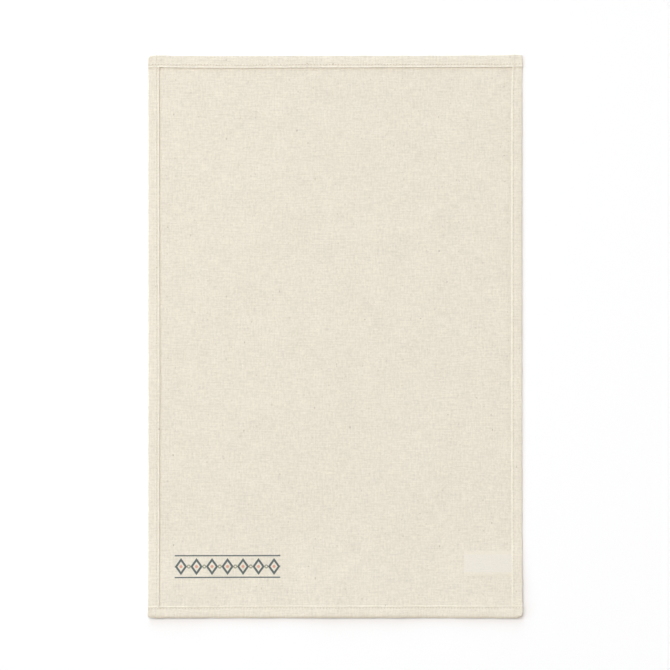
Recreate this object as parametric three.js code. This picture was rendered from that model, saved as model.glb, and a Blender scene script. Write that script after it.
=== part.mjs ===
// A tea towel laid flat, face up: one hemmed cloth, and the short label caught in its right hem.
// Millimetres. +X is the towel's right, +Y its top, +Z up from the surface that it lies on.
import * as THREE from "three";

// The finished towel between its straight outer folds, which is 20 by 30 inches as such cloth comes
const TOWEL_WIDTH = 506;
const TOWEL_LENGTH = 762.5;

// The single cloth, what a turned hem adds to it, and what is pressed out where two hems cross
const CLOTH_THICK = 1;
const HEM_RAISE = 1.2;
const CROSSING_PRESS = 0.5;
const SWELL = 0.1;
const SWELL_WAVE = 190;

// The label's tape, and the gap that it keeps to the cloth and to the hem's inner fold
const LABEL = { long: 65, wide: 34, thick: 1, middle: -306.8, rounding: 0.25 };
const GAP = 0.3;

// Each edge has the width of its hem, and a row for each place where it leaves the straight line.
// along runs from the edge's middle towards +X or +Y, out is how far the outer fold stands out
// there, and fold is how much further in the hem's inner fold lies.
const LEFT = {
  hem: 15.4,
  rows: [
    { along: -376, out: 0.6, fold: -1.2 },
    { along: -366, out: 0.5, fold: -1 },
    { along: -358, out: 0.2, fold: 0 },
    { along: -350, out: 0, fold: -0.1 },
    { along: -190, out: 0, fold: 0.1 },
    { along: -60, out: 0, fold: 0.5 },
    { along: 150, out: 0, fold: 0.1 },
    { along: 345, out: 0, fold: -0.2 },
    { along: 370, out: 0.3, fold: -0.1 },
    { along: 379, out: 0.1, fold: 0 },
  ],
};
const RIGHT = {
  hem: 13.6,
  rows: [
    { along: -378, out: 0.8, fold: -0.5 },
    { along: -367, out: 1, fold: -0.6 },
    { along: -348, out: 0.7, fold: -0.3 },
    { along: -210, out: 0.5, fold: 0 },
    { along: -150, out: 0.4, fold: 0.1 },
    { along: 200, out: 0.4, fold: 0.1 },
    { along: 335, out: 0.5, fold: 0 },
    { along: 362, out: 1, fold: -0.9 },
    { along: 378, out: 1.2, fold: -0.9 },
  ],
};
const BOTTOM = {
  hem: 17.3,
  rows: [
    { along: -250, out: -0.2, fold: -0.9 },
    { along: -236, out: -0.1, fold: -0.9 },
    { along: -200, out: -0.3, fold: -0.4 },
    { along: -100, out: -0.3, fold: 0 },
    { along: 90, out: -0.4, fold: 0.1 },
    { along: 205, out: -0.2, fold: 0 },
    { along: 240, out: 0.3, fold: 0.2 },
    { along: 252, out: 0, fold: 0.3 },
  ],
};
const TOP = {
  hem: 16.4,
  rows: [
    { along: -252, out: 0, fold: 0 },
    { along: -242, out: 0.5, fold: -0.1 },
    { along: -215, out: 0, fold: 0.2 },
    { along: -140, out: -0.2, fold: 0.6 },
    { along: 0, out: 0, fold: 0.1 },
    { along: 130, out: 0.1, fold: -0.3 },
    { along: 215, out: 0.5, fold: -0.6 },
    { along: 243, out: 1.3, fold: -0.8 },
  ],
};

// How round the towel's corners are
const CORNER_RADIUS = { bottomLeft: 4.5, bottomRight: 8, topLeft: 5, topRight: 3 };

// The lines of the surface across a hem, from its outer fold to its inner one. Each lies fromEdge
// inside the outer fold or fromFold outside the inner one. raise is its share of the hem's height,
// and round its share of the way from the outer fold's widest line to the full thickness.
const HEM_LINES = [
  { fromEdge: 0, raise: 1, round: 0 },
  { fromEdge: 0.3, raise: 1, round: 0.65 },
  { fromEdge: 1.2, raise: 1, round: 1 },
  { fromEdge: 3.5, raise: 1, round: 1 },
  { fromEdge: 6, raise: 1, round: 1 },
  { fromFold: 4.9, raise: 1, round: 1 },
  { fromFold: 3.5, raise: 0.75, round: 1 },
  { fromFold: 2.3, raise: 1, round: 1 },
  { fromFold: 0.6, raise: 1, round: 1 },
  { fromFold: 0.1, raise: 0.6, round: 1 },
  { fromFold: 0, raise: 0, round: 1 },
];

// How many bands the single cloth between the hems has across and along the towel
const BANDS_ACROSS = 12;
const BANDS_ALONG = 18;

// The out or fold of an edge at a place along it, smooth between the rows of its table.
function offsetAt(edge, along, column) {
  const rows = edge.rows;
  const next = rows.findIndex((row) => row.along > along);
  if (next === 0) return rows[0][column];
  if (next < 0) return rows.at(-1)[column];
  const from = rows[next - 1];
  const to = rows[next];
  const share = THREE.MathUtils.smoothstep(along, from.along, to.along);
  return THREE.MathUtils.lerp(from[column], to[column], share);
}

// The lines across the towel one way: the low edge's hem, the single cloth, the high edge's hem.
// The cloth's bands are narrower towards the hems.
function surfaceLines(bands) {
  const cloth = [];
  for (let band = 1; band < bands; band += 1) {
    cloth.push({ side: 0, share: (1 - Math.cos((Math.PI * band) / bands)) / 2, raise: 0, round: 1 });
  }
  const low = HEM_LINES.map((line) => ({ ...line, side: -1 }));
  const high = HEM_LINES.map((line) => ({ ...line, side: 1 })).reverse();
  return [...low, ...cloth, ...high];
}

// Where a line lies at a place along it, between the low and the high edge.
function place(line, along, half, lowEdge, highEdge) {
  if (line.side === 0) {
    const low = -half + lowEdge.hem + offsetAt(lowEdge, along, "fold");
    const high = half - highEdge.hem - offsetAt(highEdge, along, "fold");
    return THREE.MathUtils.lerp(low, high, line.share);
  }
  const edge = line.side < 0 ? lowEdge : highEdge;
  const inwards =
    line.fromFold === undefined
      ? line.fromEdge - offsetAt(edge, along, "out")
      : edge.hem + offsetAt(edge, along, "fold") - line.fromFold;
  return line.side * (half - inwards);
}

// Draws a point near a corner in, so that the square corner becomes an arc.
function roundCorner(point, corner, radius) {
  const over = new THREE.Vector2(
    radius - Math.abs(corner.x - point.x),
    radius - Math.abs(corner.y - point.y),
  );
  if (over.x <= 0 || over.y <= 0) return;
  const drawn = over.clone().multiplyScalar(Math.max(over.x, over.y) / over.length());
  point.x -= Math.sign(corner.x) * (over.x - drawn.x);
  point.y -= Math.sign(corner.y) * (over.y - drawn.y);
}

// The corner that a point is nearest to, on the uneven outline.
function nearestCorner(point) {
  const across = point.x < 0 ? LEFT : RIGHT;
  const along = point.y < 0 ? BOTTOM : TOP;
  return new THREE.Vector2(
    Math.sign(point.x) * (TOWEL_WIDTH / 2 + offsetAt(across, point.y, "out")),
    Math.sign(point.y) * (TOWEL_LENGTH / 2 + offsetAt(along, point.x, "out")),
  );
}

function cornerRadius(point) {
  if (point.y < 0) return point.x < 0 ? CORNER_RADIUS.bottomLeft : CORNER_RADIUS.bottomRight;
  return point.x < 0 ? CORNER_RADIUS.topLeft : CORNER_RADIUS.topRight;
}

// The thickness of the towel where two lines cross: the cloth with its slight swell, and the hems
// that lie on it.
function thicknessAt(point, column, row) {
  const hems = column.raise + row.raise;
  const pressed = CROSSING_PRESS * column.raise * row.raise;
  const bare = (1 - column.raise) * (1 - row.raise);
  const swell = SWELL * Math.sin(point.x / SWELL_WAVE) * Math.cos((point.y * 2) / SWELL_WAVE);
  return CLOTH_THICK + HEM_RAISE * hems - pressed + swell * bare;
}

// The towel's cloth: a grid of points over its face and the same grid on its flat underside, which
// meet in the widest line of the outer folds.
function clothGeometry() {
  const columns = surfaceLines(BANDS_ACROSS);
  const rows = surfaceLines(BANDS_ALONG);
  const positions = [];
  const face = [];
  const underside = [];
  for (const row of rows) {
    for (const column of columns) {
      const straightX = place(column, 0, TOWEL_WIDTH / 2, LEFT, RIGHT);
      const straightY = place(row, 0, TOWEL_LENGTH / 2, BOTTOM, TOP);
      const point = new THREE.Vector2(
        place(column, straightY, TOWEL_WIDTH / 2, LEFT, RIGHT),
        place(row, straightX, TOWEL_LENGTH / 2, BOTTOM, TOP),
      );
      roundCorner(point, nearestCorner(point), cornerRadius(point));
      const thickness = thicknessAt(point, column, row);
      const round = Math.min(column.round, row.round);
      face.push(positions.length / 3);
      positions.push(point.x, point.y, (thickness * (1 + round)) / 2);
      if (round === 0) {
        underside.push(face.at(-1));
      } else {
        underside.push(positions.length / 3);
        positions.push(point.x, point.y, (thickness * (1 - round)) / 2);
      }
    }
  }

  const triangles = [];
  const across = columns.length;
  for (let j = 0; j < rows.length - 1; j += 1) {
    for (let i = 0; i < across - 1; i += 1) {
      const quad = [j * across + i, j * across + i + 1, (j + 1) * across + i + 1, (j + 1) * across + i];
      // The diagonal runs from the nearest corner towards the middle of the towel.
      const leansRight = i < across / 2 === j < rows.length / 2;
      const [a, b, c, d] = leansRight ? quad : [quad[1], quad[2], quad[3], quad[0]];
      triangles.push(face[a], face[b], face[c], face[a], face[c], face[d]);
      triangles.push(underside[a], underside[c], underside[b], underside[a], underside[d], underside[c]);
    }
  }
  const geometry = new THREE.BufferGeometry();
  geometry.setAttribute("position", new THREE.Float32BufferAttribute(positions, 3));
  geometry.setIndex(triangles);
  geometry.computeVertexNormals();
  return geometry;
}

// The label's tape, with softly rounded edges, from its free end to the hem that holds it.
function labelGeometry() {
  const halfLong = LABEL.long / 2 - LABEL.rounding;
  const halfWide = LABEL.wide / 2 - LABEL.rounding;
  const outline = new THREE.Shape([
    new THREE.Vector2(-halfLong, -halfWide),
    new THREE.Vector2(halfLong, -halfWide),
    new THREE.Vector2(halfLong, halfWide),
    new THREE.Vector2(-halfLong, halfWide),
  ]);
  return new THREE.ExtrudeGeometry(outline, {
    depth: LABEL.thick - 2 * LABEL.rounding,
    bevelThickness: LABEL.rounding,
    bevelSize: LABEL.rounding,
    bevelSegments: 3,
  });
}

function cloth() {
  const material = new THREE.MeshStandardMaterial({ color: 0xe9e2d2, roughness: 0.95, metalness: 0 });
  const mesh = new THREE.Mesh(clothGeometry(), material);
  mesh.name = "cloth";
  return mesh;
}

function label() {
  const material = new THREE.MeshStandardMaterial({ color: 0xede7da, roughness: 0.8, metalness: 0 });
  const mesh = new THREE.Mesh(labelGeometry(), material);
  const fold = TOWEL_WIDTH / 2 - RIGHT.hem - offsetAt(RIGHT, LABEL.middle, "fold");
  mesh.position.set(
    fold - GAP - LABEL.long / 2,
    LABEL.middle,
    CLOTH_THICK + SWELL + GAP + LABEL.rounding,
  );
  mesh.name = "label";
  return mesh;
}

// The pieces are laid so that the middle of the towel's outline is over the origin.
const laid = new THREE.Group();
laid.add(cloth(), label());
const middle = new THREE.Box3().setFromObject(laid).getCenter(new THREE.Vector3());
laid.position.set(-middle.x, -middle.y, 0);

const towel = new THREE.Group();
towel.add(laid);

export default towel;
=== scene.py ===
import math

import bpy
import numpy as np
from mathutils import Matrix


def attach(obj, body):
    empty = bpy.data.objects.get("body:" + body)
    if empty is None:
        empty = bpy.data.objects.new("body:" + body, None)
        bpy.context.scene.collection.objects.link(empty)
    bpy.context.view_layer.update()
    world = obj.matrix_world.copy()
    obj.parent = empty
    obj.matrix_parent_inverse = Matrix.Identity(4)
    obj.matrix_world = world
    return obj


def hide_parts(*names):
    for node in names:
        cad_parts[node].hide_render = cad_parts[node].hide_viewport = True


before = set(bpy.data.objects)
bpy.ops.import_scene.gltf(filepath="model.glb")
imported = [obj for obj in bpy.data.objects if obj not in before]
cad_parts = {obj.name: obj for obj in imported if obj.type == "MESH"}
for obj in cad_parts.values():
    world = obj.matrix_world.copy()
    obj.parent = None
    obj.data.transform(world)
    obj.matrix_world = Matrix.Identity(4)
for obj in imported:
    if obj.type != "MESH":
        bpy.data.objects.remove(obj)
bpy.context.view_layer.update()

# The cloth: one piece of natural, undyed, linen-look cotton, turned twice towards its face along
# every edge. The side hems are turned and sewn first, and the end hems are turned over them, so
# a corner holds nine layers. It lies flat, face up, with its hems a little uneven.
MM = 0.001
CLOTH_THICK = 0.28 * MM
LAYER_GAP = 0.02 * MM
HEM_THICK = 3 * CLOTH_THICK + 2 * LAYER_GAP
HALF_WIDTH = 253.1 * MM
HALF_LENGTH = 381.25 * MM

# Each hem's width, how far in from its outer fold the stitching runs, and how far out from its
# inner fold its crest lies. As shares of the hem's thickness, how full the crest and the belly
# outside the stitching are, and how far the thread draws the hem in. Last, how high the single
# cloth rises beside the inner fold, before it comes down again towards the middle.
LEFT = {
    "hem": 15.4 * MM,
    "seam": 11.3 * MM,
    "crest": 0.3 * MM,
    "full": 0.31,
    "belly": 0.05,
    "drawn": 0.62,
    "rise": 0,
}
RIGHT = {
    "hem": 13.6 * MM,
    "seam": 11 * MM,
    "crest": 1.2 * MM,
    "full": 0.48,
    "belly": 0.3,
    "drawn": 0.34,
    "rise": 0.3 * MM,
}
BOTTOM = {
    "hem": 17.05 * MM,
    "seam": 14.1 * MM,
    "crest": 0.7 * MM,
    "full": 0.25,
    "belly": 0.33,
    "drawn": 1.7,
    "rise": 0,
}
TOP = {
    "hem": 16.4 * MM,
    "seam": 12.2 * MM,
    "crest": 0.2 * MM,
    "full": 0.46,
    "belly": 0.1,
    "drawn": 0.72,
    "rise": 0,
}
RISE_START = 0.9 * MM
RISE_END = 120 * MM

# Where each edge leaves the straight line, in millimetres: the place along the edge, how far the
# outer fold stands out there, and how much further in the inner fold lies
LEFT_EDGE = (
    (-376, 0.6, -1.2),
    (-366, 0.5, -1.0),
    (-358, 0.2, 0.0),
    (-350, 0.0, -0.1),
    (-190, 0.0, 0.1),
    (-60, 0.0, 0.5),
    (150, 0.0, 0.1),
    (345, 0.0, -0.2),
    (370, 0.3, -0.1),
    (379, 0.1, 0.0),
)
RIGHT_EDGE = (
    (-378, 0.8, -0.5),
    (-367, 1.0, -0.6),
    (-348, 0.7, -0.3),
    (-210, 0.5, 0.0),
    (-150, 0.4, 0.1),
    (200, 0.4, 0.1),
    (335, 0.5, 0.0),
    (362, 1.0, -0.9),
    (378, 1.2, -0.9),
)
BOTTOM_EDGE = (
    (-250, -0.4, -0.9),
    (-236, -0.3, -0.9),
    (-200, -0.5, -0.4),
    (-100, -0.5, 0.0),
    (90, -0.6, 0.1),
    (205, -0.4, 0.0),
    (240, 0.1, 0.2),
    (252, -0.2, 0.3),
)
TOP_EDGE = (
    (-252, 0.0, 0.0),
    (-242, 0.5, -0.1),
    (-215, 0.0, 0.2),
    (-140, -0.2, 0.6),
    (0, 0.0, 0.1),
    (130, 0.1, -0.3),
    (215, 0.5, -0.6),
    (243, 1.3, -0.8),
)

# The mesh's cells are half a stitch long along the hems, and four such cells make one in the body
# of the cloth, which starts a little way in from the inner folds.
BODY_START = 3 * MM
CELLS_ACROSS = 228
CELLS_ALONG = 308
COARSE = 4

# In a hem the lines follow the turns of the cloth, layer by layer. They lie so far in from the outer
# fold, so far to both sides of the stitching, or so far out from the inner fold.
BASE, OUTER_FOLD, TOP_LAYER, INNER_FOLD, MIDDLE_LAYER = range(5)
OUTER_FOLD_STEPS = 8
INNER_FOLD_STEPS = 6
BESIDE_SEAM = 1.3 * MM
BASE_LINES = (7.5 * MM, 4 * MM, 1.8 * MM)
TOP_LINES = (0.9 * MM, 1.8 * MM, 3 * MM, 5 * MM, 8 * MM)
CREST_LINES = (1.2 * MM, 0.7 * MM)
MIDDLE_START = 4 * MM
MIDDLE_LINE = 8 * MM
RAW_EDGE = 3.6 * MM


def smooth(low, high, value):
    """Rises softly from 0 at low to 1 at high."""
    share = np.clip((value - low) / (high - low), 0, 1)
    return share * share * (3 - 2 * share)


def hem_lines(hem, seam):
    """The lines of the cloth from its body out to its raw edge, as (layer, place). A place is how
    far the line lies in from the outer fold, or on a fold the angle turned."""
    stitched = (seam - BESIDE_SEAM, seam, seam + BESIDE_SEAM)
    base = (hem + BODY_START, hem + RISE_START, *reversed(stitched), *BASE_LINES)
    top = (*TOP_LINES, *stitched, *(hem - out for out in CREST_LINES))
    middle = (hem - MIDDLE_START, MIDDLE_LINE, RAW_EDGE)
    outer_fold = [math.pi * step / OUTER_FOLD_STEPS for step in range(OUTER_FOLD_STEPS + 1)]
    inner_fold = [math.pi * step / INNER_FOLD_STEPS for step in range(INNER_FOLD_STEPS + 1)]
    return [
        *((BASE, place) for place in base),
        *((OUTER_FOLD, place) for place in outer_fold),
        *((TOP_LAYER, place) for place in top),
        *((INNER_FOLD, place) for place in inner_fold),
        *((MIDDLE_LAYER, place) for place in middle),
    ]


def cloth_lines(half, low_edge, high_edge, cells):
    """All lines of the cloth one way, as arrays of side, layer and place, raw edge to raw edge, and
    the number of the line at which its body starts."""
    low_lines = hem_lines(low_edge["hem"], low_edge["seam"])
    low = [(-1, layer, place) for layer, place in reversed(low_lines)]
    high = [(1, layer, place) for layer, place in hem_lines(high_edge["hem"], high_edge["seam"])]
    start = -half + low_edge["hem"] + BODY_START
    stop = half - high_edge["hem"] - BODY_START
    body = []
    for at in np.linspace(start, stop, cells + 1)[1:-1]:
        side = -1 if at < 0 else 1
        body.append((side, BASE, half - abs(at)))
    side, layer, place = zip(*(low + body + high))
    return np.array(side), np.array(layer), np.array(place), len(low) - 1


def fold_reach(stack):
    """How far in a turned stack's outer fold reaches, and half the turned stack's height. A fold of
    more layers is pressed flatter, so that it reaches no further in than that of a single cloth."""
    return HEM_THICK / 2, (3 * stack + 2 * LAYER_GAP) / 2


def turned(layer, place, hem, stack, height):
    """Where a point of a stack of cloth lies once the stack's edge is turned twice: how far in from
    the outer fold, and how high. height is the point's height in the stack before it is turned."""
    reach, half_full = fold_reach(stack)
    pressed = reach / half_full
    full = 2 * half_full
    outer = half_full - height
    roll = stack + LAYER_GAP / 2
    inner = roll - height
    flat = place + 0 * height
    inwards = np.choose(
        layer,
        (
            flat,
            reach - pressed * outer * np.sin(place),
            flat,
            hem - pressed * (roll - inner * np.sin(place)),
            flat,
        ),
    )
    up = np.choose(
        layer,
        (
            height + 0 * place,
            half_full - outer * np.cos(place),
            full - height,
            full - roll + inner * np.cos(place),
            stack + LAYER_GAP + height,
        ),
    )
    return inwards, up


def edge_offset(edge, along, column):
    """An edge's offset at a place along it, smooth between the rows of its table."""
    rows = np.array(edge) * MM
    total = np.full_like(along, rows[0, column])
    for before, after in zip(rows[:-1], rows[1:]):
        total += (after[column] - before[column]) * smooth(before[0], after[0], along)
    return total


def waves(x, y, rows):
    """A sum of slow waves. A row is its height, its wavelengths along x and y, and its phase."""
    total = np.zeros(np.broadcast(x, y).shape)
    for height, across, along, phase in rows:
        total += height * np.sin(2 * math.pi * (x / across + y / along) + phase)
    return total


# Slow waves. In millimetres, the lift of the cloth's body off the table and the waver of its hems.
# As shares, how unevenly the hems are drawn in, and how unevenly the bottom edge lifts.
BODY_LIFT = 0.43
LIFT_WAVES = (
    (0.16, 310, 540, 0.4),
    (0.13, -240, 330, 2.1),
    (0.09, 170, -210, 4.0),
    (0.05, 96, 121, 1.3),
)
HEM_WAVER = (
    (0.10, 61, 47, 0.7),
    (0.08, -33, 29, 2.9),
    (0.06, 17, -19, 5.1),
)
PUCKER = (
    (0.05, 23, 19, 1.1),
    (0.05, -13, 11.3, 3.3),
    (0.04, 7.7, -8.9, 0.2),
)
PUCKER_SHARE = 3
CURL = (
    (0.22, 260, 1e6, 0.9),
    (0.12, 97, 1e6, 2.2),
)


def edge_values(at, low_edge, high_edge):
    """The values of the edge that each place is nearer to."""
    return {name: np.where(at < 0, low_edge[name], high_edge[name]) for name in low_edge}


def hump(distance, width):
    """A soft hump, 1 at no distance and close to 0 at twice its width."""
    return np.exp(-((distance / width) ** 2))


# A hem's relief: how wide the furrow of its stitches and its crest are, over what way its belly
# rises from the outer fold and falls to the stitching, how far it is drawn in between two needle
# holes and how much further at one, and how far it is pressed at its outer fold
FURROW_WIDTH = 1.0 * MM
CREST_WIDTH = 0.9 * MM
BELLY_RISE = 7 * MM
BELLY_FALL = 3 * MM
DRAWN_BETWEEN = 0.2
DRAWN_AT_HOLE = 0.26
PRESSED = 0.1
PRESSED_WIDTH = 2.5 * MM


def hem_shape(inwards, edge, along, pitch, start):
    """How much thicker or thinner a hem is than its flat layers, by place across and along it: it
    is drawn in at the needle holes, full on both sides of them, and pressed at its outer fold."""
    seam = edge["seam"]
    holes = 0.5 + 0.5 * np.cos(2 * math.pi * (along - start) / pitch)
    furrow = hump(inwards - seam, FURROW_WIDTH)
    crest = hump(inwards - edge["hem"] + edge["crest"], CREST_WIDTH)
    belly = smooth(0, BELLY_RISE, inwards) * smooth(seam, seam - BELLY_FALL, inwards)
    outer = 1 - smooth(0, PRESSED_WIDTH, inwards)
    drawn = edge["drawn"] * (DRAWN_BETWEEN + DRAWN_AT_HOLE * holes) * furrow
    return edge["belly"] * belly - drawn + edge["full"] * crest - PRESSED * outer


# A lifted edge: over what way it rises, and where it bends down again
LIFT_REACH = 120 * MM
BEND_START = 2.5 * MM
BEND_END = -0.6 * MM


def edge_lift(inwards, height, bend):
    """An edge's lift off the table: it rises gently, and bends down again at the outer fold."""
    bent = bend * smooth(BEND_START, BEND_END, inwards)
    return height * smooth(LIFT_REACH, 0, inwards) * (1 - bent)


# The stitches start where the body does, and two cells of the mesh are one stitch
SIDE_START = -HALF_LENGTH + BOTTOM["hem"] + BODY_START
SIDE_PITCH = 2 * (HALF_LENGTH - TOP["hem"] - BODY_START - SIDE_START) / CELLS_ALONG
END_START = -HALF_WIDTH + LEFT["hem"] + BODY_START
END_PITCH = 2 * (HALF_WIDTH - RIGHT["hem"] - BODY_START - END_START) / CELLS_ACROSS

# How the hems lie: the slope beside them and beside the stack where an end hem crosses a side hem,
# what such a crossing takes from their relief and from their height, how thin they are at least,
# and the room that the lower threads need under the cloth
HEM_SLOPE = 2 * MM
STACK_SLOPE = 4 * MM
CROSSING_CALM = 0.6
CROSSING_PRESS = 0.22
UPPER_PRESS = 0.74
UPPER_EASE = 0.35
UPPER_EASE_WIDTH = 6 * MM
THINNEST = 0.45
THREAD_ROOM = 0.3 * MM
THREAD_ROOM_WIDTH = 0.7 * MM

# How the towel lies: where its body starts to swell and has swollen, how far its bottom and right
# edges lift and bend, how the offsets of the inner folds fade, and how round its corners are
BODY_EDGE = 4 * MM
BODY_FULL = 130 * MM
BOTTOM_LIFT = 2.7 * MM
BOTTOM_BEND = 0.42
RIGHT_LIFT = 0.9 * MM
RIGHT_BEND = 0.15
RIGHT_LIFT_END = 90 * MM
FOLD_FADE = 100 * MM
CORNER_RADIUS = {(-1, -1): 4.5 * MM, (1, -1): 8 * MM, (-1, 1): 5 * MM, (1, 1): 3 * MM}

# The room that the turned layers of the right hem leave for the label's held end
LABEL_LOW = -324.5 * MM
LABEL_HIGH = -289 * MM
LABEL_THICK = 0.22 * MM
LABEL_HELD = 6.5 * MM
LABEL_SLOPE = 6 * MM


def end_stack(x):
    """The thickness of the cloth that an end hem is turned from: three layers over a side hem,
    one layer between them, with a slope where the end hem drops off the side hem. The second value
    is the side hem's share."""
    hem = edge_values(x, LEFT, RIGHT)["hem"]
    over_side = smooth(hem + STACK_SLOPE, hem, HALF_WIDTH - np.abs(x))
    return CLOTH_THICK + (HEM_THICK - CLOTH_THICK) * over_side, over_side


def edge_shift(inwards, along, hem, edge):
    """How far out an uneven edge moves the cloth. The offset of the outer fold fades through the hem
    to that of the inner fold, and that one fades through the body."""
    out = edge_offset(edge, along, 1) * (1 - smooth(0, hem, inwards))
    faded = 1 - smooth(hem, hem + FOLD_FADE, inwards)
    return out - edge_offset(edge, along, 2) * smooth(0, hem, inwards) * faded


def laid(x, y, z, over_label=0):
    """Lays flat, straight cloth as the towel lies: its hems drawn in at the stitches and pressed
    where they cross, its edges uneven, its corners rounded, and its body a little off the table."""
    in_x = HALF_WIDTH - np.abs(x)
    in_y = HALF_LENGTH - np.abs(y)
    side_edge = edge_values(x, LEFT, RIGHT)
    end_edge = edge_values(y, BOTTOM, TOP)

    # Thickness: the layers keep their order, because each place has one scale for all of them
    on_side = smooth(side_edge["hem"] + HEM_SLOPE, side_edge["hem"] - HEM_SLOPE, in_x)
    on_end = smooth(end_edge["hem"] + HEM_SLOPE, end_edge["hem"] - HEM_SLOPE, in_y)
    pucker = 1 + PUCKER_SHARE * waves(x / MM, y / MM, PUCKER)
    side = hem_shape(in_x, side_edge, y, SIDE_PITCH, SIDE_START) * pucker
    end = hem_shape(in_y, end_edge, x, END_PITCH, END_START) * pucker
    side *= 1 - CROSSING_CALM * on_end
    end *= 1 - CROSSING_CALM * on_side
    scale = np.maximum(1 + side + end, THINNEST)
    stack, over_side = end_stack(x)
    lower = np.minimum(z, stack)
    upper_press = UPPER_PRESS * over_side * (1 - UPPER_EASE * smooth(UPPER_EASE_WIDTH, 0, in_x))
    z = lower * (1 - CROSSING_PRESS * on_side * on_end) + (z - lower) * (1 - upper_press)

    # Height: room for the lower threads, the body's swell, the lifted edges and the label
    seam_x = hump(in_x - side_edge["seam"], THREAD_ROOM_WIDTH)
    seam_y = hump(in_y - end_edge["seam"], THREAD_ROOM_WIDTH)
    room = THREAD_ROOM * np.maximum(seam_x, seam_y)
    body = smooth(BODY_EDGE, BODY_FULL, np.minimum(in_x, in_y))
    lift = (waves(x / MM, y / MM, LIFT_WAVES) + BODY_LIFT) * MM * body
    beside_fold = in_x - side_edge["hem"]
    risen = smooth(RISE_START, BODY_START, beside_fold) * smooth(RISE_END, BODY_START, beside_fold)
    lift += side_edge["rise"] * risen
    curl = 1 + waves(x / MM, y / MM, CURL)
    lift += edge_lift(in_y, BOTTOM_LIFT, BOTTOM_BEND) * (y < 0) * curl
    lift += edge_lift(in_x, RIGHT_LIFT, RIGHT_BEND) * (x > 0) * smooth(0, RIGHT_LIFT_END, in_y)
    over_low = smooth(LABEL_LOW - LABEL_SLOPE, LABEL_LOW, y)
    under_high = smooth(LABEL_HIGH + LABEL_SLOPE, LABEL_HIGH, y)
    held = smooth(RIGHT["hem"] - 2 * LABEL_HELD, RIGHT["hem"] - LABEL_HELD, in_x)
    on_label = over_low * under_high * held
    z = lift + room + z * scale + over_label * on_label * (LABEL_THICK + LAYER_GAP)

    # Outline: uneven edges, and hems that waver
    moved_x = x.copy()
    moved_y = y.copy()
    for sign, hem, edge in ((-1, LEFT["hem"], LEFT_EDGE), (1, RIGHT["hem"], RIGHT_EDGE)):
        moved_x += sign * edge_shift(HALF_WIDTH - sign * x, y, hem, edge)
    for sign, hem, edge in ((-1, BOTTOM["hem"], BOTTOM_EDGE), (1, TOP["hem"], TOP_EDGE)):
        moved_y += sign * edge_shift(HALF_LENGTH - sign * y, x, hem, edge)
    in_hem = np.maximum(on_side, on_end)
    moved_x += waves(x / MM, y / MM, HEM_WAVER) * MM * in_hem
    moved_y += waves(y / MM, x / MM, HEM_WAVER) * MM * in_hem

    # Corners: a square of cloth as wide as the radius is drawn in to a quarter circle
    for (sign_x, sign_y), radius in CORNER_RADIUS.items():
        over_x = radius - HALF_WIDTH + sign_x * x
        over_y = radius - HALF_LENGTH + sign_y * y
        inside = (over_x > 0) & (over_y > 0)
        reach = np.hypot(over_x, over_y)
        share = np.where(inside, np.maximum(over_x, over_y) / np.where(inside, reach, 1), 1)
        moved_x -= np.where(inside, sign_x * over_x * (1 - share), 0)
        moved_y -= np.where(inside, sign_y * over_y * (1 - share), 0)
    return moved_x, moved_y, z


def cloth_point(across, along, height):
    """A point of the towel as it lies, and its x and y before the cloth is laid unevenly. across and
    along are (side, layer, place) arrays of its lines, and height is its height in the single
    cloth."""
    side, layer, place = across
    hem = edge_values(side, LEFT, RIGHT)["hem"]
    in_x, up = turned(layer, place, hem, CLOTH_THICK, height)
    x = side * (HALF_WIDTH - in_x)
    over_label = (side > 0) & (layer != BASE)
    side, layer, place = along
    hem = edge_values(side, BOTTOM, TOP)["hem"]
    in_y, z = turned(layer, place, hem, end_stack(x)[0], up)
    y = side * (HALF_LENGTH - in_y)
    x = x + 0 * y
    return laid(x, y, z, over_label), (x, y)


def length_along(lines, half, low_edge, high_edge):
    """How far along the flat, cut cloth each line lies, from the middle of the towel."""
    side, layer, place = lines
    hem = edge_values(side, low_edge, high_edge)["hem"]
    inwards, up = turned(layer, place, hem, CLOTH_THICK, np.full(len(side), CLOTH_THICK / 2))
    at = side * (half - inwards)
    steps = np.hypot(np.diff(at), np.diff(up))
    run = np.concatenate(([0], np.cumsum(steps)))
    middle = np.interp(0, at[layer == BASE], run[layer == BASE])
    return run - middle


def closed_shell(name, points, index, outlines):
    """A mesh with every outline on its face and, turned over, on its back, closed round its rim.
    index numbers the points of the back and of the face by row and column."""
    faces = []
    for outline in outlines:
        faces.append([int(index[1][at]) for at in outline])
        faces.append([int(index[0][at]) for at in reversed(outline)])
    rows, columns = index.shape[1:]
    rim = [(0, i) for i in range(columns)]
    rim += [(j, columns - 1) for j in range(1, rows)]
    rim += [(rows - 1, i) for i in range(columns - 2, -1, -1)]
    rim += [(j, 0) for j in range(rows - 2, 0, -1)]
    for a, b in zip(rim, rim[1:] + rim[:1]):
        faces.append([int(index[side][at]) for side, at in ((0, a), (0, b), (1, b), (1, a))])
    mesh = bpy.data.meshes.new(name)
    mesh.from_pydata(points.tolist(), [], faces)
    mesh.shade_smooth()
    return mesh


def add_map(mesh, name, u, v):
    """Gives a mesh a map of its surface, from the two parts at each of its points."""
    corner = np.zeros(len(mesh.loops), np.int32)
    mesh.loops.foreach_get("vertex_index", corner)
    values = np.stack((u.ravel(), v.ravel()), axis=-1)
    mesh.uv_layers.new(name=name).data.foreach_set("uv", values[corner].ravel())


def placed(name, data):
    """A new object in the scene."""
    item = bpy.data.objects.new(name, data)
    bpy.context.scene.collection.objects.link(item)
    return item


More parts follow.
